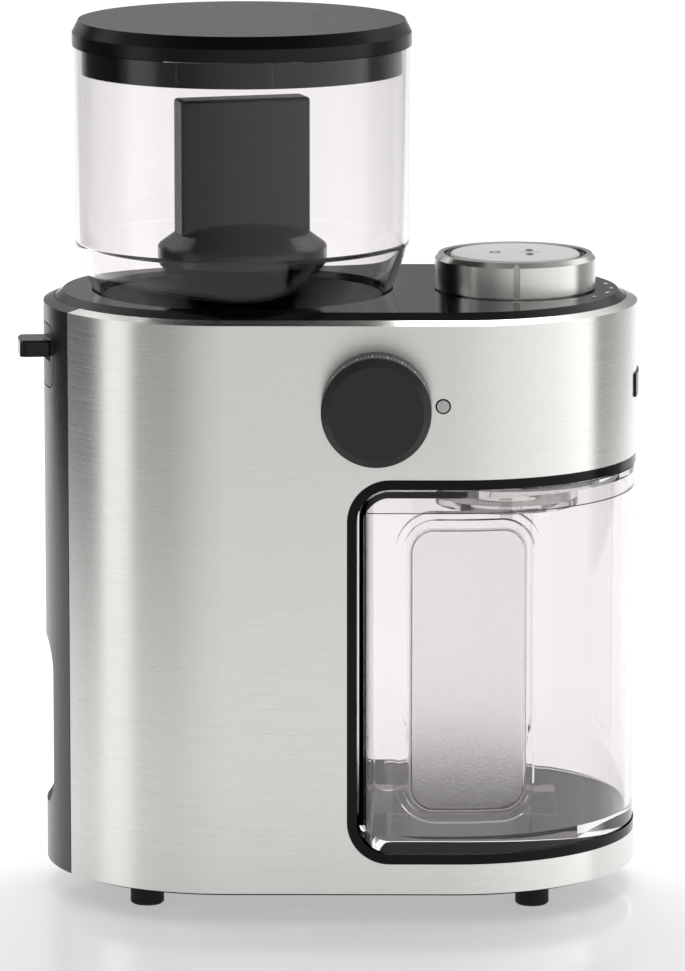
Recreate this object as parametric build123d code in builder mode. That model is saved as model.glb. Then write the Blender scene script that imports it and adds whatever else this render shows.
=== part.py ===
from build123d import *
import math
import os

os.makedirs("parts", exist_ok=True)

# Burr coffee grinder, millimetres.  Origin on the surface it stands on, under the middle of
# the body; +X to the container side, +Y to the back, +Z up.

# ---- body -------------------------------------------------------------------
BODY_LENGTH = 182.0         # over the two round ends
BODY_DEPTH = 112.0          # also the diameter of the round ends
SHELL_BOTTOM = 9.0
BEVEL_START = 183.0         # where the steel starts to turn in
SHELL_TOP = 184.3
DECK_TOP = 186.3
STEEL = 1.2                 # sheet thickness, with its folded edge
COVER_WALL = 2.4
RIM_INSET = 3.1             # how far the bevel turns in
DECK_BEVEL_INSET = 6.0
LIP_INSET = 3.3             # inner edge of the steel lip
FIT = 0.2                   # assembly gap between fixed parts
COVER_HALF_WIDTH = 30.0     # half the opening for the side cover
DECK_BOTTOM = 179.0
BASE_BOTTOM = 8.0
BASE_TOP = 11.0

# ---- container bay ----------------------------------------------------------
BAY_LEFT = 2.4
BAY_BOTTOM = 18.2
BAY_TOP = 136.4
BAY_CORNER = 13.0
BAY_WALL = 3.0
BAY_CEILING = 133.4
RAIL_LEFT = 10.7            # raised guide on the bay floor
RAIL_RIGHT = 66.0
RAIL_HALF_WIDTH = 19.0
RAIL_TOP = 23.5

# ---- container --------------------------------------------------------------
JAR_LEFT = 6.0
JAR_INSET = 0.4
JAR_BOTTOM = 21.8
JAR_TOP = 126.0
JAR_LID_TOP = 132.8
JAR_LID_PLATE = 2.3
JAR_FLOOR = 4.7
JAR_WALL = 2.2
JAR_CORNER = 5.0
GRIP_LEFT = 19.2
GRIP_RIGHT = 58.5
GRIP_BOTTOM = 32.7
GRIP_TOP = 124.0
GRIP_CORNER = 10.0
GRIP_DEPTH = 4.0
DISH_X = 51.2               # filling dish in the container lid, under the chute
DISH_RADIUS = 22.0
DISH_BOTTOM = 120.0

# ---- hopper, lid and shutter --------------------------------------------------
BURR_X = -30.0              # axis of hopper, burrs and drive shaft
HOPPER_RADIUS = 51.25
HOPPER_WALL = 2.0
HOPPER_TOP = 261.0
HOPPER_CONE_TOP = 201.0
HOPPER_SEAT_RADIUS = 45.3
HOPPER_SEAT = 185.0
FUNNEL_BOTTOM = 166.5
FUNNEL_FLOOR = 168.5
FUNNEL_NECK = 40.0
LID_RADIUS = 51.8
LID_TOP = 269.0
LID_FLAT_RADIUS = 49.9
LID_BEVEL = 265.3
LID_EDGE = 261.3
LID_SKIRT_BOTTOM = 253.2
LID_SKIRT_RADIUS = 48.9
KNOB_DISC_RADIUS = 25.9
KNOB_POST_RADIUS = 16.0
HANDLE_WIDTH = 40.6
HANDLE_THICKNESS = 10.5
HANDLE_TOP = 245.0
HANDLE_TURN = 17.0          # degrees, how the handle stands when the shutter is open
WINDOW_RADIUS = 21.7        # bean windows in funnel floor and shutter
WINDOW_WIDTH = 9.0
WINDOW_ARC = 60.0

# ---- hopper lock --------------------------------------------------------------
LOCK_BOTTOM = 170.0
LOCK_TOP = 178.5
LOCK_OUTER = 51.0
LOCK_INNER = 44.8
TOOTH_INNER = 40.6
TOOTH_BOTTOM = 176.4
LUG_ARC = 24.0
LUG_RADIUS = 44.2
LUG_BOTTOM = 173.0
LUG_TOP = 176.0
TOOTH_LEAD = 26.0           # degrees from lug to tooth when unlocked
LEVER_ANGLE = 187.0         # direction of the lever from the hopper axis
LEVER_WIDTH = 14.0
LEVER_BOTTOM = 167.0
LEVER_TOP = 172.0
LEVER_REACH = 68.8
ESCUTCHEON_Z = 167.5
ESCUTCHEON_DEPTH = 1.0       # the plate lies flush in the side cover

# ---- grinding chamber -----------------------------------------------------------
HOUSING_RADIUS = 38.0
CARRIER_BORE = 35.5
CHAMBER_RADIUS = 33.0
CHAMBER_FLOOR = 140.0
CHAMBER_STEP = 146.5
HOUSING_BOTTOM = 137.0
FLANGE_BOTTOM = 166.5
FLANGE_TOP = 169.7
FLANGE_RADIUS = 46.0
CARRIER_BOTTOM = 151.0
CARRIER_TOP = 165.0
CARRIER_RADIUS = 35.2
BURR_OUTER = 28.0
SHAFT_RADIUS = 4.0
CHUTE_HALF_WIDTH = 9.0
CHUTE_WALL = 1.6
CHUTE_END = 64.0
OUTLET_RADIUS = 9.0

# ---- drive ----------------------------------------------------------------------
MOTOR_X = -40.0
MOTOR_RADIUS = 21.0
MOTOR_BOTTOM = 30.0
PLATE_BOTTOM = 82.0
PLATE_TOP = 86.0
COVER_TOP = 115.0
COVER_ROOF = 111.5
GEAR_MODULE = 1.0
GEAR_PRESSURE = math.radians(25)
BACKLASH = 0.2
PINION_TEETH = 12
WHEEL_TEETH = 40
SMALL_TEETH = 14
FINAL_TEETH = 46
CENTRE_SLACK = 0.05         # the gear centres stand this much further apart

# ---- front dial -------------------------------------------------------------------
DIAL_X = 11.2
DIAL_Z = 158.8
DIAL_RADIUS = 16.5
DIAL_FACE = -70.5
DIAL_BACK = -56.5
DIAL_BEVEL = 2.2
ECCENTRIC = 1.0
DIAL_PIN_RADIUS = 1.5
ARM_FRONT = -31.0
ARM_BACK = -27.5

# ---- cups dial and start button ------------------------------------------------------
CUPS_X = 53.5
CUPS_RADIUS = 24.65
CUPS_BORE = 21.85
CUPS_BOTTOM = 186.8
CUPS_TOP = 197.3
CUPS_BEVEL = 1.5
SLEEVE_RADIUS = 21.5
BUTTON_RADIUS = 19.85
BOARD_BOTTOM = 162.0
BOARD_TOP = 163.6

FRONT = Plane.XZ            # sketches seen from the front: across is X, up is Z


def body_outline(inset):
    """The body's plan, moved in by inset, in the sketch being built."""
    SlotOverall(BODY_LENGTH - 2 * inset, BODY_DEPTH - 2 * inset)


def body_slab(inset, bottom, top, mode=Mode.ADD):
    """A slab with the body's plan, in the part being built."""
    with BuildSketch(Plane.XY.offset(bottom)) as plan:
        body_outline(inset)
    extrude(plan.sketch, amount=top - bottom, mode=mode)


def body_bevel(low_inset, bottom, high_inset, top):
    """The sloping edge between two of the body's outlines."""
    with BuildSketch(Plane.XY.offset(bottom)) as low:
        body_outline(low_inset)
    with BuildSketch(Plane.XY.offset(top)) as high:
        body_outline(high_inset)
    loft([low.sketch, high.sketch], ruled=True)


def bay_outline(inset):
    """The container bay from the front; its right end runs on past the body."""
    reach = BODY_LENGTH / 2 + 2 * BAY_CORNER
    height = BAY_TOP - BAY_BOTTOM - 2 * inset
    with Locations((BAY_LEFT + inset + reach / 2, (BAY_TOP + BAY_BOTTOM) / 2)):
        RectangleRounded(reach, height, BAY_CORNER - inset)


def grip_outline(grow):
    """The finger recess of the container from the front."""
    width = GRIP_RIGHT - GRIP_LEFT + 2 * grow
    height = GRIP_TOP - GRIP_BOTTOM + 2 * grow
    with Locations(((GRIP_LEFT + GRIP_RIGHT) / 2, (GRIP_TOP + GRIP_BOTTOM) / 2)):
        RectangleRounded(width, height, GRIP_CORNER + grow)


def block(x, y, z, mode=Mode.ADD):
    """A box given by its low and high values along each axis."""
    centre = ((x[0] + x[1]) / 2, (y[0] + y[1]) / 2, (z[0] + z[1]) / 2)
    with Locations(centre):
        Box(x[1] - x[0], y[1] - y[0], z[1] - z[0], mode=mode)


def skin_plate(size, corner, depths):
    """A rounded rectangle of the body's left end behind the lever, between two depths."""
    with BuildPart(mode=Mode.PRIVATE) as plate:
        body_slab(depths[0], ESCUTCHEON_Z - size[1], ESCUTCHEON_Z + size[1])
        body_slab(depths[1], 0, DECK_TOP, Mode.SUBTRACT)
        with BuildSketch(Plane.YZ) as outline:
            with Locations((0, ESCUTCHEON_Z)):
                RectangleRounded(size[0], size[1], corner)
        extrude(outline.sketch, amount=-BODY_LENGTH, mode=Mode.INTERSECT)
    return plate.part


def post(centre, radius, bottom, top, mode=Mode.ADD):
    """An upright cylinder at a point of the plan."""
    with BuildSketch(Plane.XY.offset(bottom)) as disc:
        with Locations(centre):
            Circle(radius)
    extrude(disc.sketch, amount=top - bottom, mode=mode)


def tube(centre, radius, bore, bottom, top, mode=Mode.ADD):
    """An upright round tube at a point of the plan."""
    with BuildSketch(Plane.XY.offset(bottom)) as ring:
        with Locations(centre):
            Circle(radius)
            Circle(bore, mode=Mode.SUBTRACT)
    extrude(ring.sketch, amount=top - bottom, mode=mode)


def turned(centre, points, mode=Mode.ADD):
    """A turned shape from (radius, height) points, about an upright axis."""
    upright = Plane(origin=(centre[0], centre[1], 0), x_dir=(1, 0, 0), z_dir=(0, -1, 0))
    with BuildSketch(upright) as section:
        with BuildLine():
            Polyline(*points, close=True)
        make_face()
    revolve(section.sketch, axis=Axis((centre[0], centre[1], 0), (0, 0, 1)), mode=mode)


def arc_segment(inner, outer, middle, width, bottom, top, mode=Mode.ADD):
    """Part of a ring about the burr axis, centred on an angle in degrees."""
    start = math.radians(middle - width / 2)
    end = math.radians(middle + width / 2)
    far = 2 * outer
    with BuildSketch(Plane.XY.offset(bottom)) as segment:
        with BuildLine():
            Polyline(
                (BURR_X, 0),
                (BURR_X + far * math.cos(start), far * math.sin(start)),
                (BURR_X + far * math.cos(end), far * math.sin(end)),
                close=True,
            )
        make_face()
        with Locations((BURR_X, 0)):
            Circle(outer, mode=Mode.INTERSECT)
            Circle(inner, mode=Mode.SUBTRACT)
    extrude(segment.sketch, amount=top - bottom, mode=mode)


def cut_bean_windows(bottom, top):
    """Two curved windows either side of the burr axis, cut through the part being built."""
    for side in (0, 180):
        with BuildSketch(Plane.XY.offset(bottom)) as window:
            with Locations((BURR_X, 0)):
                arc = CenterArc((0, 0), WINDOW_RADIUS, side - WINDOW_ARC / 2, WINDOW_ARC)
                SlotArc(arc, WINDOW_WIDTH)
        extrude(window.sketch, amount=top - bottom, mode=Mode.SUBTRACT)


def burr_flutes(reach, radius, count, bottom, top):
    """Round cutting flutes, evenly spaced about the burr axis."""
    with BuildSketch(Plane.XY.offset(bottom)) as flutes:
        with Locations((BURR_X, 0)):
            with PolarLocations(reach, count):
                Circle(radius)
    extrude(flutes.sketch, amount=top - bottom, mode=Mode.SUBTRACT)


def gear_points(teeth, turn):
    """Corners of a spur gear's outline, with involute flanks, one tooth at the angle turn."""
    pitch = GEAR_MODULE * teeth / 2
    base = pitch * math.cos(GEAR_PRESSURE)
    root = pitch - 1.25 * GEAR_MODULE
    tip = pitch + GEAR_MODULE
    half_tooth = math.pi / (2 * teeth) - BACKLASH / (2 * pitch)
    rolled = math.tan(GEAR_PRESSURE) - GEAR_PRESSURE
    low = max(base, root)
    flank = [(root, 0.0)]
    for step in range(6):
        radius = low + (tip - low) * step / 5
        angle = math.acos(base / radius)
        flank.append((radius, math.tan(angle) - angle))
    flank[0] = (root, flank[1][1])
    points = []
    for tooth in range(teeth):
        middle = turn + 2 * math.pi * tooth / teeth
        for side in (-1, 1):
            for radius, roll in flank[::-side]:
                angle = middle + side * (half_tooth + rolled - roll)
                points.append((radius * math.cos(angle), radius * math.sin(angle)))
    return points


def gear_blank(centre, teeth, turn, bottom, top):
    """A spur gear standing upright at a point of the plan, in the part being built."""
    with BuildSketch(Plane.XY.offset(bottom)) as outline:
        with Locations(centre):
            Polygon(*gear_points(teeth, turn), align=None)
    extrude(outline.sketch, amount=top - bottom)


def finish(builder, name):
    """Name the finished piece and write it."""
    builder.part.label = name
    export_step(builder.part, f"parts/{name}.step")


# ---- shell --------------------------------------------------------------------------
with BuildPart() as steel_band:
    body_slab(0, SHELL_BOTTOM, BEVEL_START)
    body_bevel(0, BEVEL_START, RIM_INSET, SHELL_TOP)
    body_slab(STEEL, SHELL_BOTTOM, BEVEL_START - STEEL / 2, Mode.SUBTRACT)
    body_slab(LIP_INSET, BEVEL_START - STEEL, SHELL_TOP, Mode.SUBTRACT)
    block(
        (-BODY_LENGTH, -BODY_LENGTH / 4),
        (-COVER_HALF_WIDTH, COVER_HALF_WIDTH),
        (0, DECK_TOP),
        Mode.SUBTRACT,
    )
    with BuildSketch(FRONT):
        bay_outline(0)
    extrude(amount=BODY_DEPTH, both=True, mode=Mode.SUBTRACT)
    with BuildSketch(FRONT.offset(BODY_DEPTH / 4)):
        with Locations((DIAL_X, DIAL_Z)):
            Circle(5.6)
    extrude(amount=BODY_DEPTH / 2, mode=Mode.SUBTRACT)
finish(steel_band, "steel_band")

RECESS_HALF_WIDTH = 18.0    # cord storage recess in the side cover
RECESS_BOTTOM = 27.0
RECESS_TOP = 79.0
RECESS_BACK = -66.0
RECESS_WALL = 2.0
SLOT_HALF_WIDTH = 17.5
SLOT_BOTTOM = 166.0
SLOT_TOP = 173.0

with BuildPart() as side_cover:
    body_slab(0, SHELL_BOTTOM, BEVEL_START)
    body_bevel(0, BEVEL_START, RIM_INSET, SHELL_TOP)
    body_slab(COVER_WALL, SHELL_BOTTOM, BEVEL_START - STEEL / 2, Mode.SUBTRACT)
    body_slab(LIP_INSET, BEVEL_START - STEEL, SHELL_TOP, Mode.SUBTRACT)
    recess_width = RECESS_HALF_WIDTH + RECESS_WALL
    block(
        (-BODY_LENGTH / 2 + COVER_WALL / 2, RECESS_BACK + RECESS_WALL),
        (-recess_width, recess_width),
        (RECESS_BOTTOM - RECESS_WALL, RECESS_TOP + RECESS_WALL),
    )
    cover_width = COVER_HALF_WIDTH - 2 * FIT
    block(
        (-BODY_LENGTH, RECESS_BACK + RECESS_WALL),
        (-cover_width, cover_width),
        (0, DECK_TOP),
        Mode.INTERSECT,
    )
    body_slab(0, 0, DECK_TOP, Mode.INTERSECT)
    with BuildSketch(Plane.YZ.offset(RECESS_BACK)):
        with Locations((0, (RECESS_BOTTOM + RECESS_TOP) / 2)):
            recess = Rectangle(2 * RECESS_HALF_WIDTH, RECESS_TOP - RECESS_BOTTOM)
        fillet(recess.vertices().group_by(Axis.Z)[-1], radius=10)
    extrude(amount=-BODY_DEPTH, mode=Mode.SUBTRACT)
    block(
        (-BODY_LENGTH, -BODY_LENGTH / 4),
        (-SLOT_HALF_WIDTH, SLOT_HALF_WIDTH),
        (SLOT_BOTTOM, SLOT_TOP),
        Mode.SUBTRACT,
    )
    add(skin_plate((40.8, 19.8), 4.4, (-STEEL, ESCUTCHEON_DEPTH)), mode=Mode.SUBTRACT)
finish(side_cover, "side_cover")

DECK_INSET = LIP_INSET + FIT
HOPPER_HOLE = 46.2
CUPS_HOLE = 23.4
BOARD_POSTS = [(30, 22), (30, -22), (78, 22), (78, -22)]

with BuildPart() as top_deck:
    body_slab(DECK_INSET, DECK_BOTTOM, SHELL_TOP)
    body_bevel(DECK_INSET, SHELL_TOP, DECK_BEVEL_INSET, DECK_TOP)
    post((BURR_X, 0), HOPPER_HOLE, DECK_BOTTOM, DECK_TOP, Mode.SUBTRACT)
    post((CUPS_X, 0), CUPS_HOLE, DECK_BOTTOM, DECK_TOP, Mode.SUBTRACT)
    for place in BOARD_POSTS:
        post(place, 3, BOARD_TOP, DECK_BOTTOM)
finish(top_deck, "top_deck")

PILLARS = [(-12, 42), (-12, -42), (-48, 41), (-48, -41)]
SHORT_PILLARS = [(70, 24), (70, -24)]
SCREW_RADIUS = 1.5

with BuildPart() as base_plate:
    body_slab(COVER_WALL + FIT, BASE_BOTTOM, BASE_TOP)
    for place in PILLARS:
        post(place, 4, BASE_TOP, PLATE_BOTTOM)
    for place in SHORT_PILLARS:
        post(place, 4, BASE_TOP, BAY_BOTTOM)
    for place in PILLARS + SHORT_PILLARS:
        post(place, SCREW_RADIUS + 0.05, BASE_BOTTOM, BASE_TOP + 6, Mode.SUBTRACT)
finish(base_plate, "base_plate")

with BuildPart() as base_screws:
    for place in PILLARS + SHORT_PILLARS:
        post(place, SCREW_RADIUS, BASE_BOTTOM, BASE_TOP + 4)
        post(place, 3, BASE_BOTTOM - 1.8, BASE_BOTTOM)
        with BuildSketch(Plane.XY.offset(BASE_BOTTOM - 1.8)):
            with Locations(place):
                Rectangle(3.2, 0.7)
                Rectangle(0.7, 3.2)
        extrude(amount=1, mode=Mode.SUBTRACT)
finish(base_screws, "base_screws")

FOOT_RADIUS = 5.15
FOOT_PLACES = {
    "foot_front_left": (-59, -30),
    "foot_front_right": (59, -30),
    "foot_back_left": (-59, 30),
    "foot_back_right": (59, 30),
}
for foot_name, place in FOOT_PLACES.items():
    with BuildPart() as foot:
        post(place, FOOT_RADIUS, 0, BASE_BOTTOM)
        chamfer(foot.faces().sort_by(Axis.Z)[0].edges(), length=0.6)
    finish(foot, foot_name)

with BuildPart() as bay_liner:
    with BuildSketch(FRONT):
        bay_outline(0)
    extrude(amount=BODY_DEPTH, both=True)
    with BuildSketch(FRONT):
        bay_outline(BAY_WALL)
    extrude(amount=BODY_DEPTH, both=True, mode=Mode.SUBTRACT)
    body_slab(0, 0, DECK_TOP, Mode.INTERSECT)
    with BuildSketch(Plane.XY.offset(BAY_BOTTOM + BAY_WALL / 2)):
        with Locations(((RAIL_LEFT + RAIL_RIGHT) / 2, 0)):
            SlotOverall(RAIL_RIGHT - RAIL_LEFT, 2 * RAIL_HALF_WIDTH)
    extrude(amount=RAIL_TOP - BAY_BOTTOM - BAY_WALL / 2)
    post((DISH_X, 0), OUTLET_RADIUS + CHUTE_WALL + 1, BAY_CEILING - 1, BAY_TOP, Mode.SUBTRACT)
finish(bay_liner, "bay_liner")

GLAND_Z = 40.0
with BuildPart() as cord_gland:
    with BuildSketch(Plane.YZ.offset(RECESS_BACK)):
        with Locations((0, GLAND_Z)):
            Circle(6)
    extrude(amount=-5)
    fillet(cord_gland.faces().sort_by(Axis.X)[0].edges(), radius=1.5)
    with BuildSketch(Plane.YZ.offset(RECESS_BACK)):
        with Locations((0, GLAND_Z)):
            Circle(3.2)
    extrude(amount=-5, mode=Mode.SUBTRACT)
finish(cord_gland, "cord_gland")

BADGE_BOTTOM = 154.3
BADGE_TOP = 161.5
BADGE_HALF_WIDTH = 11.0
BADGE_PROUD = 0.6
with BuildPart() as end_badge:
    body_slab(-BADGE_PROUD, BADGE_BOTTOM, BADGE_TOP)
    body_slab(0, BADGE_BOTTOM, BADGE_TOP, Mode.SUBTRACT)
    block((0, BODY_LENGTH), (-BADGE_HALF_WIDTH, BADGE_HALF_WIDTH), (0, DECK_TOP), Mode.INTERSECT)
finish(end_badge, "end_badge")

MARKER_X = 31.2
MARKER_RADIUS = 1.85
with BuildPart() as dial_marker:
    with BuildSketch(FRONT.offset(BODY_DEPTH / 2)):
        with Locations((MARKER_X, DIAL_Z)):
            Circle(MARKER_RADIUS)
    extrude(amount=0.3)
finish(dial_marker, "dial_marker")

with BuildPart() as lever_escutcheon:
    add(skin_plate((40, 19), 4, (0, ESCUTCHEON_DEPTH)))
    block(
        (-BODY_LENGTH, 0),
        (-SLOT_HALF_WIDTH, SLOT_HALF_WIDTH),
        (SLOT_BOTTOM, SLOT_TOP),
        Mode.SUBTRACT,
    )
finish(lever_escutcheon, "lever_escutcheon")

# ---- hopper ---------------------------------------------------------------------------
BURR_AXIS = (BURR_X, 0)
COLLAR = 43.3
with BuildPart() as hopper:
    inner = HOPPER_RADIUS - HOPPER_WALL
    turned(BURR_AXIS, [
        (HOPPER_RADIUS, HOPPER_TOP),
        (HOPPER_RADIUS, HOPPER_CONE_TOP),
        (HOPPER_SEAT_RADIUS, HOPPER_SEAT),
        (HOPPER_SEAT_RADIUS, HOPPER_SEAT - 1.5),
        (COLLAR, HOPPER_SEAT - 1.5),
        (COLLAR, HOPPER_SEAT + 0.4),
        (inner, HOPPER_CONE_TOP + 0.5),
        (inner, HOPPER_TOP),
    ])
    bend = hopper.edges().filter_by(GeomType.CIRCLE)
    fillet(bend.filter_by_position(Axis.Z, 200, 202), radius=14)
finish(hopper, "hopper")

with BuildPart() as hopper_funnel:
    turned(BURR_AXIS, [
        (COLLAR - 0.1, HOPPER_SEAT - 0.5),
        (COLLAR - 0.1, HOPPER_SEAT - 1.6),
        (HOPPER_SEAT_RADIUS, HOPPER_SEAT - 1.6),
        (HOPPER_SEAT_RADIUS, 180.5),
        (FUNNEL_NECK, 180.5),
        (FUNNEL_NECK, 172.5),
        (29.0, FUNNEL_FLOOR),
        (29.0, FUNNEL_BOTTOM),
        (0, FUNNEL_BOTTOM),
        (0, 175.0),
        (4.0, 175.0),
        (4.0, FUNNEL_FLOOR),
        (27.0, FUNNEL_FLOOR),
        (27.5, FUNNEL_FLOOR + 1.5),
    ])
    for side in (30, 150, 270):
        arc_segment(FUNNEL_NECK - 1, LUG_RADIUS, side, LUG_ARC, LUG_BOTTOM, LUG_TOP)
    cut_bean_windows(FUNNEL_BOTTOM, FUNNEL_FLOOR)
finish(hopper_funnel, "hopper_funnel")

with BuildPart() as hopper_lid:
    turned(BURR_AXIS, [
        (0, LID_TOP),
        (LID_FLAT_RADIUS, LID_TOP),
        (LID_RADIUS, LID_BEVEL),
        (LID_RADIUS, LID_EDGE),
        (LID_SKIRT_RADIUS, LID_EDGE),
        (LID_SKIRT_RADIUS, LID_SKIRT_BOTTOM),
        (LID_SKIRT_RADIUS - 1.8, LID_SKIRT_BOTTOM),
        (LID_SKIRT_RADIUS - 1.8, LID_TOP - 2.5),
        (0, LID_TOP - 2.5),
    ])
finish(hopper_lid, "hopper_lid")

SHUTTER_BOTTOM = 168.8
SHUTTER_TOP = 170.3
with BuildPart() as shutter_knob:
    across = math.cos(math.radians(HANDLE_TURN))
    along = math.sin(math.radians(HANDLE_TURN))
    upright = Plane(origin=(BURR_X, 0, 0), x_dir=(across, along, 0), z_dir=(along, -across, 0))
    with BuildSketch(upright):
        with Locations((0, (HANDLE_TOP + 190) / 2)):
            Rectangle(HANDLE_WIDTH, HANDLE_TOP - 190)
    extrude(amount=HANDLE_THICKNESS / 2, both=True)
    fillet(shutter_knob.edges().filter_by_position(Axis.Z, 191, HANDLE_TOP + 1), radius=1.2)
    turned(BURR_AXIS, [
        (4.2, SHUTTER_TOP),
        (KNOB_POST_RADIUS, SHUTTER_TOP),
        (KNOB_POST_RADIUS, 190.0),
        (KNOB_DISC_RADIUS - 2.0, 192.8),
        (KNOB_DISC_RADIUS, 195.0),
        (KNOB_DISC_RADIUS, 200.0),
        (20.8, 203.6),
        (13.0, 205.6),
        (0, 206.6),
        (0, 176.0),
        (4.2, 176.0),
    ])
finish(shutter_knob, "shutter_knob")

with BuildPart() as shutter_disc:
    tube(BURR_AXIS, 26.6, 4.2, SHUTTER_BOTTOM, SHUTTER_TOP)
    cut_bean_windows(SHUTTER_BOTTOM, SHUTTER_TOP)
finish(shutter_disc, "shutter_disc")

with BuildPart() as lock_ring:
    tube(BURR_AXIS, LOCK_OUTER, LOCK_INNER, LOCK_BOTTOM, LOCK_TOP)
    for side in (30, 150, 270):
        tooth_angle = side + TOOTH_LEAD
        arc_segment(TOOTH_INNER, LOCK_INNER + 1, tooth_angle, LUG_ARC, TOOTH_BOTTOM, LOCK_TOP)
finish(lock_ring, "lock_ring")

LEVER_ROOT = 47.0
with BuildPart() as lock_lever:
    lever_plan = Plane(
        origin=(BURR_X, 0, LEVER_BOTTOM),
        x_dir=(math.cos(math.radians(LEVER_ANGLE)), math.sin(math.radians(LEVER_ANGLE)), 0),
        z_dir=(0, 0, 1),
    )
    with BuildSketch(lever_plan):
        with Locations(((LEVER_ROOT + LEVER_REACH) / 2, 0)):
            Rectangle(LEVER_REACH - LEVER_ROOT, LEVER_WIDTH)
    extrude(amount=LEVER_TOP - LEVER_BOTTOM)
    fillet(lock_lever.edges().filter_by(Axis.Z).sort_by(Axis.X)[:2], radius=2.0)
    chamfer(lock_lever.edges().group_by(Axis.Z)[-1], length=0.6)
    post(BURR_AXIS, LOCK_OUTER, LOCK_BOTTOM, LEVER_TOP, Mode.SUBTRACT)
finish(lock_lever, "lock_lever")

# ---- grinding chamber --------------------------------------------------------------------
LEG_REACH = 26.0
LEGS = [
    (BURR_X + LEG_REACH * math.cos(math.radians(a)), LEG_REACH * math.sin(math.radians(a)))
    for a in (90, 210, 330)
]
BUSH_RADIUS = 6.0
RUNNING_FIT = 0.05

with BuildPart() as burr_housing:
    turned(BURR_AXIS, [
        (BUSH_RADIUS, HOUSING_BOTTOM - 9),
        (BUSH_RADIUS + 3, HOUSING_BOTTOM - 9),
        (BUSH_RADIUS + 3, HOUSING_BOTTOM),
        (HOUSING_RADIUS, HOUSING_BOTTOM),
        (HOUSING_RADIUS, FLANGE_BOTTOM),
        (FLANGE_RADIUS, FLANGE_BOTTOM),
        (FLANGE_RADIUS, FLANGE_TOP),
        (36.0, FLANGE_TOP),
        (36.0, FLANGE_BOTTOM),
        (CARRIER_BORE, FLANGE_BOTTOM),
        (CARRIER_BORE, CHAMBER_STEP),
        (CHAMBER_RADIUS, CHAMBER_STEP),
        (CHAMBER_RADIUS, CHAMBER_FLOOR),
        (BUSH_RADIUS, CHAMBER_FLOOR),
    ])
    for place in LEGS:
        post(place, 5, COVER_TOP, HOUSING_BOTTOM)
        post(place, SCREW_RADIUS + 0.05, COVER_TOP, COVER_TOP + 12, Mode.SUBTRACT)
    block((BURR_X + 20, 12), (-CHUTE_HALF_WIDTH, CHUTE_HALF_WIDTH),
          (CHAMBER_FLOOR, CHAMBER_STEP), Mode.SUBTRACT)
    block((-16, 12), (-46, -16), (152.5, 165.2), Mode.SUBTRACT)
finish(burr_housing, "burr_housing")

with BuildPart() as housing_screws:
    for place in LEGS:
        post(place, SCREW_RADIUS, COVER_ROOF, COVER_TOP + 10)
        post(place, 2.8, COVER_ROOF - 1.8, COVER_ROOF)
finish(housing_screws, "housing_screws")

with BuildPart() as housing_bush:
    tube(BURR_AXIS, BUSH_RADIUS, SHAFT_RADIUS + RUNNING_FIT, HOUSING_BOTTOM - 9, CHAMBER_FLOOR)
finish(housing_bush, "housing_bush")

with BuildPart() as burr_carrier:
    turned(BURR_AXIS, [
        (BURR_OUTER, CARRIER_BOTTOM),
        (CARRIER_RADIUS, CARRIER_BOTTOM),
        (CARRIER_RADIUS, CARRIER_TOP),
        (24.5, CARRIER_TOP),
        (24.5, 162.0),
        (BURR_OUTER, 162.0),
    ])
    with BuildSketch(Plane.XY.offset(154.3)):
        with BuildLine():
            Polyline((-12, -26), (-2, -20), (17, ARM_BACK), (17, ARM_FRONT), (-6, ARM_FRONT),
                     close=True)
        make_face()
    extrude(amount=9)
    block((9.6, 14.4), (ARM_FRONT - 1, ARM_BACK + 6),
          (DIAL_Z - DIAL_PIN_RADIUS - 0.15, DIAL_Z + DIAL_PIN_RADIUS + 0.15), Mode.SUBTRACT)
finish(burr_carrier, "burr_carrier")

LOWER_BURR_BOTTOM = 146.8
with BuildPart() as upper_burr:
    turned(BURR_AXIS, [
        (BURR_OUTER, 150.0),
        (BURR_OUTER, 162.0),
        (24.0, 162.0),
        (18.5, 154.0),
        (20.6, 150.0),
    ])
    burr_flutes(20.6, 1.1, 24, 150.0, 162.0)
finish(upper_burr, "upper_burr")

with BuildPart() as lower_burr:
    turned(BURR_AXIS, [
        (SHAFT_RADIUS, LOWER_BURR_BOTTOM),
        (21.0, LOWER_BURR_BOTTOM),
        (11.0, 163.0),
        (SHAFT_RADIUS, 163.0),
    ])
    burr_flutes(21.0, 1.3, 24, LOWER_BURR_BOTTOM, 163.0)
    burr_flutes(16.0, 2.6, 6, 154.0, 163.0)
finish(lower_burr, "lower_burr")

IMPELLER_BOTTOM = 140.4
with BuildPart() as impeller:
    tube(BURR_AXIS, 32.4, SHAFT_RADIUS, IMPELLER_BOTTOM, IMPELLER_BOTTOM + 1.6)
    tube(BURR_AXIS, 10, SHAFT_RADIUS, IMPELLER_BOTTOM, LOWER_BURR_BOTTOM)
    with BuildSketch(Plane.XY.offset(IMPELLER_BOTTOM)):
        with Locations(BURR_AXIS):
            with PolarLocations(20.5, 4):
                Rectangle(23, 2)
    extrude(amount=CHAMBER_STEP - 0.4 - IMPELLER_BOTTOM)
finish(impeller, "impeller")

SHAFT_BOTTOM = 98.6
SHAFT_TOP = 166.0
NUT_BOTTOM = 163.0
with BuildPart() as drive_shaft:
    post(BURR_AXIS, SHAFT_RADIUS, SHAFT_BOTTOM, SHAFT_TOP)
finish(drive_shaft, "drive_shaft")

with BuildPart() as burr_nut:
    with BuildSketch(Plane.XY.offset(NUT_BOTTOM)):
        with Locations(BURR_AXIS):
            RegularPolygon(6.5, 6)
            Circle(SHAFT_RADIUS, mode=Mode.SUBTRACT)
    extrude(amount=SHAFT_TOP - 0.2 - NUT_BOTTOM)
finish(burr_nut, "burr_nut")

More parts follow.
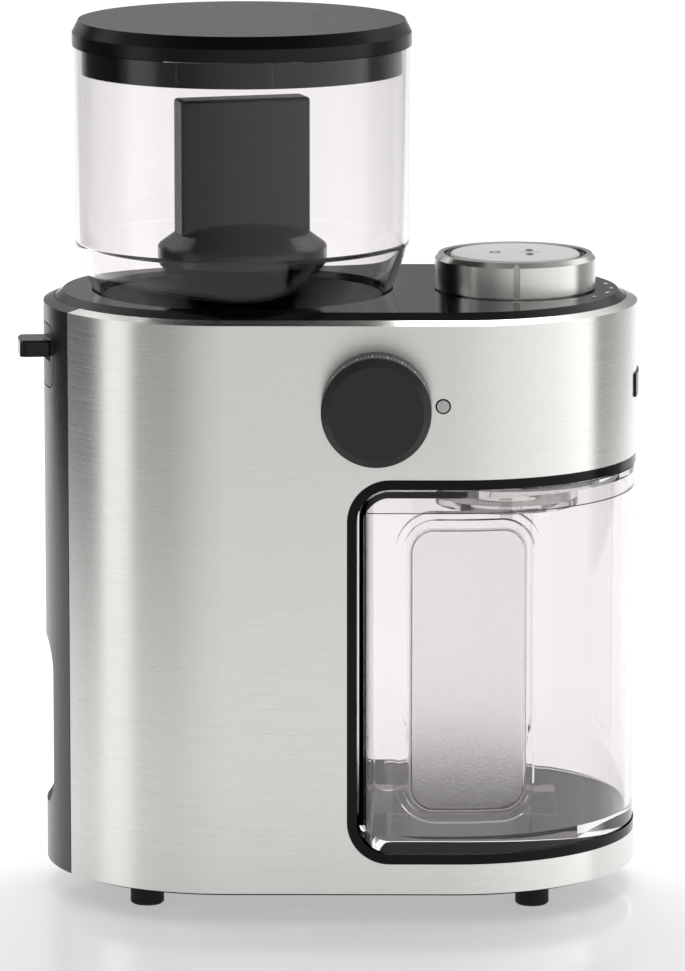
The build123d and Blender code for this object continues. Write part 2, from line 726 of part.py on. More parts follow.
CHUTE_FLOOR = CHAMBER_FLOOR - CHUTE_WALL
CHUTE_ROOF = CHAMBER_STEP + CHUTE_WALL
OUTLET_BOTTOM = 133.7
with BuildPart() as grind_chute:
    block((0, CHUTE_END), (-CHUTE_HALF_WIDTH - CHUTE_WALL, CHUTE_HALF_WIDTH + CHUTE_WALL),
          (CHUTE_FLOOR, CHUTE_ROOF))
    post((DISH_X, 0), OUTLET_RADIUS + CHUTE_WALL, OUTLET_BOTTOM, CHUTE_FLOOR)
    block((0, CHUTE_END - CHUTE_WALL), (-CHUTE_HALF_WIDTH, CHUTE_HALF_WIDTH),
          (CHAMBER_FLOOR, CHAMBER_STEP), Mode.SUBTRACT)
    post((DISH_X, 0), OUTLET_RADIUS, OUTLET_BOTTOM, CHAMBER_STEP, Mode.SUBTRACT)
    post(BURR_AXIS, HOUSING_RADIUS, CHUTE_FLOOR, CHUTE_ROOF, Mode.SUBTRACT)
finish(grind_chute, "grind_chute")

SPRING_GAUGE = 1.0


def coil(centre, radius, gauge, bottom, top, turns):
    """A helical compression spring between two heights, in the part being built."""
    height = top - bottom - gauge
    foot = (centre[0], centre[1], bottom + gauge / 2)
    with BuildLine() as path:
        Helix(pitch=height / turns, height=height, radius=radius, center=foot)
    with BuildSketch(Plane(origin=path.line @ 0, z_dir=path.line % 0)) as wire:
        Circle(gauge / 2)
    sweep(wire.sketch, path=path.line, is_frenet=True)


with BuildPart() as burr_spring:
    coil(BURR_AXIS, 34.2, SPRING_GAUGE, CHAMBER_STEP + 0.1, CARRIER_BOTTOM - 0.1, 2)
finish(burr_spring, "burr_spring")

# ---- gear train and motor ---------------------------------------------------------------------
MOTOR_AXIS = (MOTOR_X, 0)
FIRST_REACH = GEAR_MODULE * (PINION_TEETH + WHEEL_TEETH) / 2 + CENTRE_SLACK
SECOND_REACH = GEAR_MODULE * (SMALL_TEETH + FINAL_TEETH) / 2 + CENTRE_SLACK
axis_gap = BURR_X - MOTOR_X
idler_x = (FIRST_REACH ** 2 - SECOND_REACH ** 2 + axis_gap ** 2) / (2 * axis_gap)
idler_y = math.sqrt(FIRST_REACH ** 2 - idler_x ** 2)
IDLER_AXIS = (MOTOR_X + idler_x, idler_y)
FIRST_LINE = math.atan2(idler_y, idler_x)
SECOND_LINE = math.atan2(-idler_y, BURR_X - IDLER_AXIS[0])
IDLER_PIN = 2.5

with BuildPart() as motor_pinion:
    gear_blank(MOTOR_AXIS, PINION_TEETH, FIRST_LINE, 88, 96)
    post(MOTOR_AXIS, 2.0, 88, 96, Mode.SUBTRACT)
finish(motor_pinion, "motor_pinion")

with BuildPart() as idler_gear:
    gear_blank(IDLER_AXIS, WHEEL_TEETH, FIRST_LINE + math.pi + math.pi / WHEEL_TEETH, 89, 95)
    gear_blank(IDLER_AXIS, SMALL_TEETH, SECOND_LINE, 95, 108)
    post(IDLER_AXIS, IDLER_PIN + RUNNING_FIT, 89, 108, Mode.SUBTRACT)
finish(idler_gear, "idler_gear")

with BuildPart() as final_gear:
    gear_blank(BURR_AXIS, FINAL_TEETH, SECOND_LINE + math.pi + math.pi / FINAL_TEETH, 100, 108)
    post(BURR_AXIS, SHAFT_RADIUS, 100, 108, Mode.SUBTRACT)
finish(final_gear, "final_gear")

with BuildPart() as idler_pin:
    post(IDLER_AXIS, IDLER_PIN, PLATE_BOTTOM, COVER_TOP)
finish(idler_pin, "idler_pin")

MOTOR_BOSS = 6.0
GEARBOX_INSET = 4.6
GEARBOX_WALL = 1.8
with BuildPart() as gearbox_plate:
    body_slab(GEARBOX_INSET, PLATE_BOTTOM, PLATE_TOP)
    block((-BODY_LENGTH, 0), (-BODY_DEPTH, BODY_DEPTH), (0, DECK_TOP), Mode.INTERSECT)
    post(MOTOR_AXIS, MOTOR_BOSS, PLATE_BOTTOM, PLATE_TOP, Mode.SUBTRACT)
    post(IDLER_AXIS, IDLER_PIN, PLATE_BOTTOM, PLATE_TOP, Mode.SUBTRACT)
    for place in PILLARS:
        post(place, SCREW_RADIUS + 0.05, PLATE_BOTTOM, PLATE_TOP, Mode.SUBTRACT)
finish(gearbox_plate, "gearbox_plate")

with BuildPart() as gearbox_cover:
    body_slab(GEARBOX_INSET, PLATE_TOP, COVER_TOP)
    block((-BODY_LENGTH, -1), (-BODY_DEPTH, BODY_DEPTH), (0, DECK_TOP), Mode.INTERSECT)
    with BuildSketch(Plane.XY.offset(PLATE_TOP)) as cavity:
        body_outline(GEARBOX_INSET + GEARBOX_WALL)
        with Locations((BODY_LENGTH / 2 - 3.5, 0)):
            Rectangle(BODY_LENGTH, BODY_DEPTH, mode=Mode.SUBTRACT)
    extrude(cavity.sketch, amount=COVER_ROOF - PLATE_TOP, mode=Mode.SUBTRACT)
    tube(BURR_AXIS, BUSH_RADIUS + 3, BUSH_RADIUS, COVER_TOP, COVER_TOP + 4)
    post(BURR_AXIS, BUSH_RADIUS, COVER_ROOF, COVER_TOP + 4, Mode.SUBTRACT)
    post(IDLER_AXIS, IDLER_PIN, COVER_ROOF, COVER_TOP, Mode.SUBTRACT)
    for place in LEGS:
        post(place, SCREW_RADIUS, COVER_ROOF, COVER_TOP, Mode.SUBTRACT)
finish(gearbox_cover, "gearbox_cover")

with BuildPart() as gearbox_bush:
    tube(BURR_AXIS, BUSH_RADIUS, SHAFT_RADIUS + RUNNING_FIT, COVER_ROOF, COVER_TOP + 4)
finish(gearbox_bush, "gearbox_bush")

with BuildPart() as gearbox_screws:
    for place in PILLARS:
        post(place, SCREW_RADIUS, PLATE_BOTTOM + 0.5, PLATE_TOP)
        post(place, 2.8, PLATE_TOP, PLATE_TOP + 1.6)
finish(gearbox_screws, "gearbox_screws")

CAN_WALL = 1.5
MOTOR_SHAFT = 2.0
with BuildPart() as motor_can:
    turned(MOTOR_AXIS, [
        (MOTOR_RADIUS, MOTOR_BOTTOM),
        (MOTOR_RADIUS, PLATE_BOTTOM),
        (MOTOR_BOSS, PLATE_BOTTOM),
        (MOTOR_BOSS, PLATE_TOP - 1),
        (MOTOR_SHAFT + RUNNING_FIT, PLATE_TOP - 1),
        (MOTOR_SHAFT + RUNNING_FIT, PLATE_BOTTOM - CAN_WALL),
        (MOTOR_RADIUS - CAN_WALL, PLATE_BOTTOM - CAN_WALL),
        (MOTOR_RADIUS - CAN_WALL, MOTOR_BOTTOM),
    ])
finish(motor_can, "motor_can")

with BuildPart() as motor_endcap:
    turned(MOTOR_AXIS, [
        (0, MOTOR_BOTTOM - 4),
        (MOTOR_RADIUS, MOTOR_BOTTOM - 4),
        (MOTOR_RADIUS, MOTOR_BOTTOM),
        (MOTOR_SHAFT + RUNNING_FIT, MOTOR_BOTTOM),
        (MOTOR_SHAFT + RUNNING_FIT, MOTOR_BOTTOM - 3),
        (0, MOTOR_BOTTOM - 3),
    ])
    for side in (-1, 1):
        block((MOTOR_X - 3, MOTOR_X + 3), sorted((side * 8.5, side * 14)), (MOTOR_BOTTOM, 40))
finish(motor_endcap, "motor_endcap")

MAGNET_BORE = 15.5
with BuildPart() as motor_magnets:
    tube(MOTOR_AXIS, MOTOR_RADIUS - CAN_WALL, MAGNET_BORE, 44, 76)
    block((MOTOR_X - 5, MOTOR_X + 5), (-MOTOR_RADIUS, MOTOR_RADIUS), (44, 76), Mode.SUBTRACT)
finish(motor_magnets, "motor_magnets")

with BuildPart() as motor_shaft:
    post(MOTOR_AXIS, MOTOR_SHAFT, MOTOR_BOTTOM - 2.5, 97)
finish(motor_shaft, "motor_shaft")

with BuildPart() as armature:
    tube(MOTOR_AXIS, MAGNET_BORE - 0.8, MOTOR_SHAFT, 46, 74)
    with BuildSketch(Plane.XY.offset(46)):
        with Locations(MOTOR_AXIS):
            with PolarLocations(12.5, 7):
                SlotOverall(7.5, 2.6)
    extrude(amount=28, mode=Mode.SUBTRACT)
    tube(MOTOR_AXIS, 7.5, MOTOR_SHAFT, 31.5, 46)
finish(armature, "armature")

# ---- front dial -----------------------------------------------------------------------------
DIAL_SHAFT_RADIUS = 4.0
DIAL_SHAFT_END = -33.0


def front_disc(centre, radius, near, far, mode=Mode.ADD):
    """A disc seen from the front, between two depths."""
    with BuildSketch(FRONT.offset(-near)) as disc:
        with Locations(centre):
            Circle(radius)
    extrude(disc.sketch, amount=-(far - near), mode=mode)


DIAL_AXIS = (DIAL_X, DIAL_Z)
with BuildPart() as grind_dial:
    front_disc(DIAL_AXIS, DIAL_RADIUS, DIAL_FACE, DIAL_BACK)
    chamfer(grind_dial.faces().sort_by(Axis.Y)[0].edges(), length=DIAL_BEVEL)
    front_disc(DIAL_AXIS, DIAL_SHAFT_RADIUS, DIAL_FACE + 4, DIAL_BACK, Mode.SUBTRACT)
finish(grind_dial, "grind_dial")

with BuildPart() as dial_shaft:
    front_disc(DIAL_AXIS, DIAL_SHAFT_RADIUS, DIAL_FACE + 4, DIAL_SHAFT_END)
    pin_centre = (DIAL_X + ECCENTRIC, DIAL_Z)
    front_disc(pin_centre, DIAL_PIN_RADIUS, DIAL_SHAFT_END, ARM_BACK + 1)
finish(dial_shaft, "dial_shaft")

with BuildPart() as dial_bushing:
    front_disc(DIAL_AXIS, 5.5, -BODY_DEPTH / 2, -BODY_DEPTH / 2 + 10)
    front_disc(DIAL_AXIS, 9, -BODY_DEPTH / 2 + STEEL, -BODY_DEPTH / 2 + STEEL + 2)
    front_disc(DIAL_AXIS, DIAL_SHAFT_RADIUS + RUNNING_FIT, -BODY_DEPTH, 0, Mode.SUBTRACT)
finish(dial_bushing, "dial_bushing")

# ---- cups dial and start button ------------------------------------------------------------------
CUPS_AXIS = (CUPS_X, 0)
RETAINER_BOTTOM = 176.5
with BuildPart() as cups_dial:
    turned(CUPS_AXIS, [
        (CUPS_BORE, 177.0),
        (CUPS_BORE + 1.2, 177.0),
        (CUPS_BORE + 1.2, CUPS_BOTTOM),
        (CUPS_RADIUS, CUPS_BOTTOM),
        (CUPS_RADIUS, CUPS_TOP - CUPS_BEVEL),
        (CUPS_RADIUS - 1.2, CUPS_TOP),
        (CUPS_BORE, CUPS_TOP),
    ])
    with BuildSketch(Plane.XY.offset(CUPS_TOP)):
        with Locations((CUPS_X, -CUPS_RADIUS)):
            with Locations(Rotation(0, 0, 45)):
                Rectangle(1.6, 1.6)
    extrude(amount=-(CUPS_TOP - CUPS_BOTTOM), mode=Mode.SUBTRACT)
finish(cups_dial, "cups_dial")

with BuildPart() as dial_retainer:
    tube(CUPS_AXIS, 25.5, CUPS_BORE + 1.2, RETAINER_BOTTOM, RETAINER_BOTTOM + 2)
finish(dial_retainer, "dial_retainer")

with BuildPart() as button_sleeve:
    tube(CUPS_AXIS, SLEEVE_RADIUS, BUTTON_RADIUS + 0.35, BOARD_TOP, CUPS_TOP - 0.7)
    tube(CUPS_AXIS, SLEEVE_RADIUS, 3.2, 176, 178)
finish(button_sleeve, "button_sleeve")

BUTTON_UNDER = 188.0
STEM_BOTTOM = 167.6
with BuildPart() as start_button:
    post(CUPS_AXIS, BUTTON_RADIUS, BUTTON_UNDER, CUPS_TOP)
    chamfer(start_button.faces().sort_by(Axis.Z)[-1].edges(), length=0.5)
    post(CUPS_AXIS, 2.6, STEM_BOTTOM, BUTTON_UNDER)
finish(start_button, "start_button")

with BuildPart() as button_spring:
    coil(CUPS_AXIS, 5.5, SPRING_GAUGE, 178.1, BUTTON_UNDER - 0.1, 4)
finish(button_spring, "button_spring")

with BuildPart() as control_board:
    block((26, 82), (-26, 26), (BOARD_BOTTOM, BOARD_TOP))
    block((34, 46), (-25, -22.5), (BOARD_TOP, BOARD_TOP + 4))
    block((60, 74), (22.5, 25), (BOARD_TOP, BOARD_TOP + 5))
finish(control_board, "control_board")

with BuildPart() as button_switch:
    block((CUPS_X - 4, CUPS_X + 4), (-4, 4), (BOARD_TOP, 165.2))
    post(CUPS_AXIS, 2, 165.2, 166.0)
finish(button_switch, "button_switch")

with BuildPart() as dial_encoder:
    block((CUPS_X - 4, CUPS_X + 4), (22.4, 25.4), (BOARD_TOP, 176.0))
finish(dial_encoder, "dial_encoder")

# ---- container --------------------------------------------------------------------------------------
def bay_filler(inset):
    """The bay's rounded outline, right across the body, kept where the part is."""
    with BuildSketch(FRONT) as outline:
        bay_outline(BAY_WALL + inset)
    extrude(outline.sketch, amount=BODY_DEPTH, both=True, mode=Mode.INTERSECT)


def jar_slab(inset, bottom, top):
    """A slab with the container's plan, moved in by inset, rounded at its left corners."""
    body_slab(JAR_INSET + inset, bottom, top)
    block((JAR_LEFT + inset, BODY_LENGTH), (-BODY_DEPTH, BODY_DEPTH), (0, DECK_TOP),
          Mode.INTERSECT)
    upright = BuildPart._get_context().edges().filter_by(Axis.Z).sort_by(Axis.X)[:2]
    fillet(upright, radius=JAR_CORNER - inset)
    bay_filler(JAR_LEFT - BAY_LEFT - BAY_WALL + inset)


def grip_prism(grow, depth):
    """The finger recesses' outline, from the middle of the body out past both its faces."""
    with BuildSketch(FRONT) as outline:
        grip_outline(grow)
    extrude(outline.sketch, amount=BODY_DEPTH, both=True)
    body_slab(JAR_INSET + depth, 0, DECK_TOP, Mode.SUBTRACT)


with BuildPart() as jar_recesses:
    grip_prism(0, GRIP_DEPTH)

with BuildPart() as recess_walls:
    grip_prism(JAR_WALL, GRIP_DEPTH + JAR_WALL)

with BuildPart() as jar_cavity:
    jar_slab(JAR_WALL, JAR_BOTTOM + JAR_FLOOR, JAR_TOP)

with BuildPart() as lid_cavity:
    jar_slab(JAR_WALL, JAR_TOP, JAR_LID_TOP - JAR_LID_PLATE)

with BuildPart() as container:
    jar_slab(0, JAR_BOTTOM, JAR_TOP)
    add(jar_recesses.part, mode=Mode.SUBTRACT)
    add(jar_cavity.part - recess_walls.part, mode=Mode.SUBTRACT)
    block((0, RAIL_RIGHT + 1), (-RAIL_HALF_WIDTH - 0.6, RAIL_HALF_WIDTH + 0.6),
          (0, RAIL_TOP + 0.5), Mode.SUBTRACT)
finish(container, "container")

with BuildPart() as container_lid:
    jar_slab(0, JAR_TOP, JAR_LID_TOP)
    add(lid_cavity.part, mode=Mode.SUBTRACT)
    dish = (DISH_X, 0)
    post(dish, DISH_RADIUS, DISH_BOTTOM, JAR_LID_TOP)
    post(dish, DISH_RADIUS - 2, DISH_BOTTOM + 2, JAR_LID_TOP, Mode.SUBTRACT)
    post(dish, OUTLET_RADIUS + 2, DISH_BOTTOM, DISH_BOTTOM + 2, Mode.SUBTRACT)
finish(container_lid, "container_lid")
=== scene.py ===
import math

import bmesh
import bpy
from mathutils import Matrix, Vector


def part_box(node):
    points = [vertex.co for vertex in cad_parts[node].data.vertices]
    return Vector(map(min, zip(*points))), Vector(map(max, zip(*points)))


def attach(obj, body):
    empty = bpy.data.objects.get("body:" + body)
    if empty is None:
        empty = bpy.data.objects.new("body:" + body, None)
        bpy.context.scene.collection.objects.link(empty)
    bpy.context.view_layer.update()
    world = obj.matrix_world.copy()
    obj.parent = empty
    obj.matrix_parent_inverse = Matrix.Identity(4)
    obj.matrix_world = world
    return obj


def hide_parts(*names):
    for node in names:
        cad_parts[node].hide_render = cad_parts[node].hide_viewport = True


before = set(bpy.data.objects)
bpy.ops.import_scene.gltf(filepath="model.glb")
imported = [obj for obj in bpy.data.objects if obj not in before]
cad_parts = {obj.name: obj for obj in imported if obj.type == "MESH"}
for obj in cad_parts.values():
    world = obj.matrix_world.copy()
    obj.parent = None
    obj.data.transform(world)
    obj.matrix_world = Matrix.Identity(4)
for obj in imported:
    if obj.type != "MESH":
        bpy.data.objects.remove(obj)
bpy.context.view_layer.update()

MM = 0.001
BURR_X = -30 * MM                    # axis of hopper and burrs
CUPS_X = 53.5 * MM                   # axis of the cups dial
END_CENTRE = 35 * MM                 # centre of the round right end
HANDLE_TURN = math.radians(17)       # how the turning handle stands at rest
CREASE = 32                          # degrees, above which an edge of a mesh stays sharp


# ---- node helpers --------------------------------------------------------------------
class Shader:
    """A node material, built up from its Principled shader."""

    def __init__(self, name, **values):
        self.material = bpy.data.materials.new(name)
        self.material.use_nodes = True
        self.tree = self.material.node_tree
        self.surface = self.tree.nodes["Principled BSDF"]
        for socket, value in values.items():
            self.surface.inputs[socket.replace("_", " ")].default_value = value

    def node(self, kind, links=(), **values):
        """A new node; links are (its input, another node's output) pairs."""
        made = self.tree.nodes.new(kind)
        for key, value in values.items():
            setattr(made, key, value)
        for socket, source in links:
            if isinstance(source, bpy.types.NodeSocket):
                self.tree.links.new(source, made.inputs[socket])
            else:
                made.inputs[socket].default_value = source
        return made

    def drive(self, socket, source):
        """Join a node's output to the Principled shader."""
        self.tree.links.new(source, self.surface.inputs[socket])

    def place(self, scale=(1, 1, 1)):
        """The point being shaded, in metres in the object's frame, scaled."""
        where = self.node("ShaderNodeTexCoord")
        scaled = self.node("ShaderNodeMapping", [("Vector", where.outputs["Object"])])
        scaled.inputs["Scale"].default_value = scale
        return scaled.outputs["Vector"]

    def noise(self, scale, stretch=(1, 1, 1), detail=3.0, roughness=0.5):
        """Noise whose features are about 1/scale metres across."""
        return self.node(
            "ShaderNodeTexNoise",
            [("Vector", self.place(stretch)), ("Scale", scale), ("Detail", detail),
             ("Roughness", roughness)],
        ).outputs["Fac"]

    def remap(self, source, low, high, start=0.0, end=1.0):
        """source from start..end turned into low..high."""
        return self.node(
            "ShaderNodeMapRange",
            [("Value", source), ("From Min", start), ("From Max", end),
             ("To Min", low), ("To Max", high)],
        ).outputs["Result"]

    def blend(self, factor, low, high):
        """A colour between two others."""
        mixed = self.node("ShaderNodeMix", [("Factor", factor)], data_type="RGBA")
        for socket, colour in (("A", low), ("B", high)):
            target = [s for s in mixed.inputs if s.name == socket and s.type == "RGBA"][0]
            if isinstance(colour, bpy.types.NodeSocket):
                self.tree.links.new(colour, target)
            else:
                target.default_value = (*colour, 1)
        return [s for s in mixed.outputs if s.type == "RGBA"][0]

    def bump(self, height, strength, distance=0.0001):
        """Fine relief on the surface."""
        made = self.node(
            "ShaderNodeBump",
            [("Height", height), ("Strength", strength), ("Distance", distance)],
        )
        self.drive("Normal", made.outputs["Normal"])


# ---- materials -------------------------------------------------------------------------
def tinted(colour, factor):
    """A colour made darker or lighter."""
    return tuple(min(1, channel * factor) for channel in colour)


def moulded(name, colour, roughness, grain=0.05, spread=0.03, gloss=0.25):
    """Moulded plastic or rubber: even colour, a fine moulded grain and slightly uneven gloss."""
    made = Shader(name, Roughness=roughness, Specular_IOR_Level=gloss)
    fine = made.noise(2600, detail=2)
    made.drive("Base Color", made.blend(fine, tinted(colour, 0.93), tinted(colour, 1.07)))
    made.drive("Roughness", made.remap(made.noise(300, detail=2), roughness - spread / 2,
                                       roughness + spread / 2, 0.3, 0.7))
    made.bump(fine, grain, 0.00002)
    return made.material


def brushed(name, colour, roughness, across, anisotropic, streak):
    """Brushed metal; across is how the noise is squeezed over the brushing lines."""
    made = Shader(name, Metallic=1.0, Roughness=roughness, Anisotropic=anisotropic)
    fine = made.noise(1.0, across, detail=5, roughness=0.75)
    broad = made.noise(0.3, across, detail=3)
    made.drive("Base Color", made.blend(made.remap(fine, 0, 1, 0.32, 0.68),
                                        tinted(colour, 1 - streak), tinted(colour, 1 + streak)))
    made.drive("Roughness", made.remap(broad, roughness - 0.02, roughness + 0.03, 0.3, 0.7))
    made.bump(fine, 0.06, 0.00003)
    return made


def upright_tangent(made):
    """Level brushing lines blur what the metal mirrors up and down, not sideways."""
    up = made.node("ShaderNodeCombineXYZ")
    up.inputs["Z"].default_value = 1.0
    made.drive("Tangent", up.outputs["Vector"])


def clear_plastic(name, tint, index=1.46):
    """Clear moulded plastic, with a slight tint and faint flow marks."""
    made = Shader(name, Roughness=0.0, IOR=index)
    made.surface.inputs["Base Color"].default_value = (*tint, 1)
    made.surface.inputs["Transmission Weight"].default_value = 1.0
    made.bump(made.noise(9, (1, 1, 0.3), detail=1), 0.01, 0.0006)
    return made.material


def jar_plastic(name, tint):
    """Clear plastic with a frosted, grainy grip pocket at the front and back."""
    made = Shader(name, Roughness=0.0, IOR=1.46)
    made.surface.inputs["Base Color"].default_value = (*tint, 1)
    made.surface.inputs["Transmission Weight"].default_value = 1.0
    low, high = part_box("container")
    where = made.node("ShaderNodeTexCoord")
    split = made.node("ShaderNodeSeparateXYZ", [("Vector", where.outputs["Object"])])
    half_depth = (high[1] - low[1]) / 2

    def inside(value, edge_low, edge_high, soft):
        rising = made.remap(value, 0, 1, edge_low - soft, edge_low + soft)
        falling = made.remap(value, 1, 0, edge_high - soft, edge_high + soft)
        return made.node("ShaderNodeMath", [(0, rising), (1, falling)],
                         operation="MULTIPLY").outputs[0]

    across = inside(split.outputs["X"], 21.6 * MM, 56.0 * MM, 1.2 * MM)
    upward = inside(split.outputs["Z"], 35.6 * MM, 121.0 * MM, 1.6 * MM)
    past = made.node("ShaderNodeMath", [(0, split.outputs["X"]), (1, END_CENTRE)],
                     operation="SUBTRACT")
    past = made.node("ShaderNodeMath", [(0, past.outputs[0]), (1, 0.0)], operation="MAXIMUM")
    place = made.node("ShaderNodeCombineXYZ", [("X", past.outputs[0]),
                                               ("Y", split.outputs["Y"])])
    reach = made.node("ShaderNodeVectorMath", [(0, place.outputs[0])], operation="LENGTH")
    depth = made.node("ShaderNodeMath", [(0, half_depth), (1, reach.outputs["Value"])],
                      operation="SUBTRACT").outputs[0]
    pocket = inside(depth, 3.2 * MM, 4.9 * MM, 0.2 * MM)
    frost = across
    for other in (upward, pocket):
        frost = made.node("ShaderNodeMath", [(0, frost), (1, other)],
                          operation="MULTIPLY").outputs[0]
    made.drive("Roughness", made.remap(frost, 0.0, 0.42))
    grain = made.noise(1500, detail=3, roughness=0.7)
    height = made.node("ShaderNodeMath", [(0, grain), (1, frost)], operation="MULTIPLY")
    made.bump(height.outputs[0], 0.5, 0.0004)
    return made.material


def turned_metal(name, axis_x, colour, roughness):
    """Satin aluminium with fine lathe marks round an upright axis."""
    made = Shader(name, Metallic=1.0, Roughness=roughness, Anisotropic=0.55)
    where = made.node("ShaderNodeTexCoord")
    centred = made.node("ShaderNodeVectorMath", [(0, where.outputs["Object"])],
                        operation="SUBTRACT")
    centred.inputs[1].default_value = (axis_x, 0, 0)
    flat = made.node("ShaderNodeVectorMath", [(0, centred.outputs["Vector"])],
                     operation="MULTIPLY")
    flat.inputs[1].default_value = (1, 1, 0)
    radius = made.node("ShaderNodeVectorMath", [(0, flat.outputs["Vector"])], operation="LENGTH")
    split = made.node("ShaderNodeSeparateXYZ", [("Vector", centred.outputs["Vector"])])
    rings = made.node("ShaderNodeCombineXYZ", [("X", radius.outputs["Value"]),
                                               ("Y", split.outputs["Z"])])
    fine = made.node("ShaderNodeTexNoise", [("Vector", rings.outputs["Vector"]),
                                            ("Scale", 3500.0), ("Detail", 2.0)]).outputs["Fac"]
    made.drive("Base Color", made.blend(fine, tinted(colour, 0.95), tinted(colour, 1.05)))
    made.bump(fine, 0.04, 0.00002)
    upright_tangent(made)
    return made.material


steel = brushed("brushed_steel", (0.765, 0.77, 0.735), 0.25, (110, 110, 8500), 0.8, 0.04)
upright_tangent(steel)

LOOKS = {
    "steel_band": steel.material,
    "side_cover": moulded("cover_black", (0.008, 0.008, 0.008), 0.24, gloss=0.5),
    "top_deck": moulded("deck_black", (0.0025, 0.0025, 0.0025), 0.07, grain=0.0, spread=0.01,
                        gloss=0.2),
    "bay_liner": moulded("liner_black", (0.003, 0.003, 0.003), 0.10, grain=0.0, spread=0.01,
                         gloss=0.14),
    "base_plate": moulded("base_black", (0.006, 0.006, 0.006), 0.5),
    "lever_escutcheon": moulded("escutcheon_black", (0.012, 0.012, 0.012), 0.28),
    "lock_lever": moulded("lever_black", (0.005, 0.005, 0.005), 0.14, grain=0.0),
    "lock_ring": moulded("ring_black", (0.01, 0.01, 0.01), 0.4),
    "end_badge": moulded("badge_black", (0.002, 0.002, 0.002), 0.2, grain=0.0),
    "dial_marker": moulded("marker_grey", (0.70, 0.70, 0.68), 0.35),
    "hopper": clear_plastic("hopper_clear", (0.915, 0.90, 0.90), index=1.33),
    "container": jar_plastic("container_clear", (0.875, 0.858, 0.85)),
    "container_lid": clear_plastic("container_lid_clear", (0.80, 0.785, 0.78)),
    "hopper_funnel": moulded("funnel_black", (0.003, 0.003, 0.003), 0.10, grain=0.0),
    "hopper_lid": moulded("lid_black", (0.005, 0.005, 0.005), 0.22, grain=0.03, gloss=0.22),
    "shutter_knob": moulded("knob_charcoal", (0.008, 0.008, 0.0075), 0.20, gloss=0.35),
    "shutter_disc": moulded("shutter_black", (0.008, 0.008, 0.008), 0.25),
    "grind_dial": moulded("dial_charcoal", (0.026, 0.026, 0.0245), 0.36),
    "cups_dial": turned_metal("dial_metal", CUPS_X, (0.70, 0.70, 0.67), 0.24),
    "start_button": moulded("button_grey", (0.84, 0.84, 0.82), 0.35),
    "button_sleeve": moulded("sleeve_black", (0.004, 0.004, 0.004), 0.25, grain=0.0),
    "cord_gland": moulded("gland_rubber", (0.008, 0.008, 0.008), 0.6),
}
INNER_LOOKS = [
    (brushed("zinc_screws", (0.55, 0.55, 0.56), 0.30, (900, 900, 900), 0.0, 0.05).material,
     ["base_screws", "housing_screws", "gearbox_screws"]),
    (brushed("machined_steel", (0.60, 0.60, 0.60), 0.28, (300, 300, 5000), 0.0, 0.06).material,
     ["drive_shaft", "burr_nut", "idler_pin", "motor_shaft", "dial_shaft", "dial_retainer"]),
    (brushed("hardened_steel", (0.50, 0.50, 0.49), 0.26, (1200, 1200, 2500), 0.0, 0.06).material,
     ["upper_burr", "lower_burr"]),
    (brushed("spring_wire", (0.52, 0.52, 0.53), 0.32, (2000, 2000, 2000), 0.0, 0.04).material,
     ["burr_spring", "button_spring"]),
    (brushed("brass", (0.75, 0.55, 0.25), 0.30, (300, 300, 5000), 0.0, 0.05).material,
     ["motor_pinion", "dial_bushing"]),
    (brushed("sintered_bronze", (0.50, 0.34, 0.18), 0.48, (2500, 2500, 2500), 0.0, 0.10).material,
     ["housing_bush", "gearbox_bush"]),
    (brushed("motor_steel", (0.58, 0.58, 0.57), 0.36, (200, 200, 3000), 0.0, 0.04).material,
     ["motor_can"]),
    (brushed("laminations", (0.32, 0.31, 0.30), 0.50, (60, 60, 6000), 0.0, 0.12).material,
     ["armature"]),
    (moulded("natural_nylon", (0.72, 0.69, 0.60), 0.42),
     ["idler_gear", "final_gear", "impeller", "burr_carrier"]),
    (moulded("chamber_plastic", (0.018, 0.018, 0.018), 0.38), ["burr_housing", "grind_chute"]),
    (moulded("gearbox_plastic", (0.10, 0.10, 0.10), 0.46),
     ["gearbox_plate", "gearbox_cover", "motor_endcap"]),
    (moulded("ferrite", (0.035, 0.035, 0.037), 0.60, grain=0.1), ["motor_magnets"]),
    (moulded("board_green", (0.015, 0.10, 0.045), 0.40),
     ["control_board", "button_switch", "dial_encoder"]),
    (moulded("foot_rubber", (0.008, 0.008, 0.008), 0.55),
     ["foot_front_left", "foot_front_right", "foot_back_left", "foot_back_right"]),
]
for finish, names in INNER_LOOKS:
    LOOKS.update(dict.fromkeys(names, finish))
for node_name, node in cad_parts.items():
    node.data.materials.clear()
    node.data.materials.append(LOOKS[node_name])


# ---- visual pieces -------------------------------------------------------------------------
def shown(name, built, body, material, smooth=True, crease=CREASE):
    """A mesh piece that rides a body and takes the finish it is given."""
    bmesh.ops.recalc_face_normals(built, faces=built.faces)
    mesh = bpy.data.meshes.new(name)
    for face in built.faces:
        face.smooth = smooth
    built.to_mesh(mesh)
    built.free()
    if smooth:
        mesh.set_sharp_from_angle(angle=math.radians(crease))
    mesh.materials.append(material)
    made = bpy.data.objects.new(name, mesh)
    bpy.context.scene.collection.objects.link(made)
    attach(made, body)
    return made


def lathe(built, axis_x, profile, segments=256):
    """A closed profile of (radius, height) points in mm, turned round an upright axis."""
    rings = []
    for step in range(segments):
        turn = 2 * math.pi * step / segments
        rings.append([
            built.verts.new((axis_x + r * MM * math.cos(turn), r * MM * math.sin(turn), z * MM))
            for r, z in profile
        ])
    count = len(profile)
    for ring, following in zip(rings, rings[1:] + rings[:1]):
        for index in range(count):
            after = (index + 1) % count
            built.faces.new((ring[index], following[index], following[after], ring[after]))


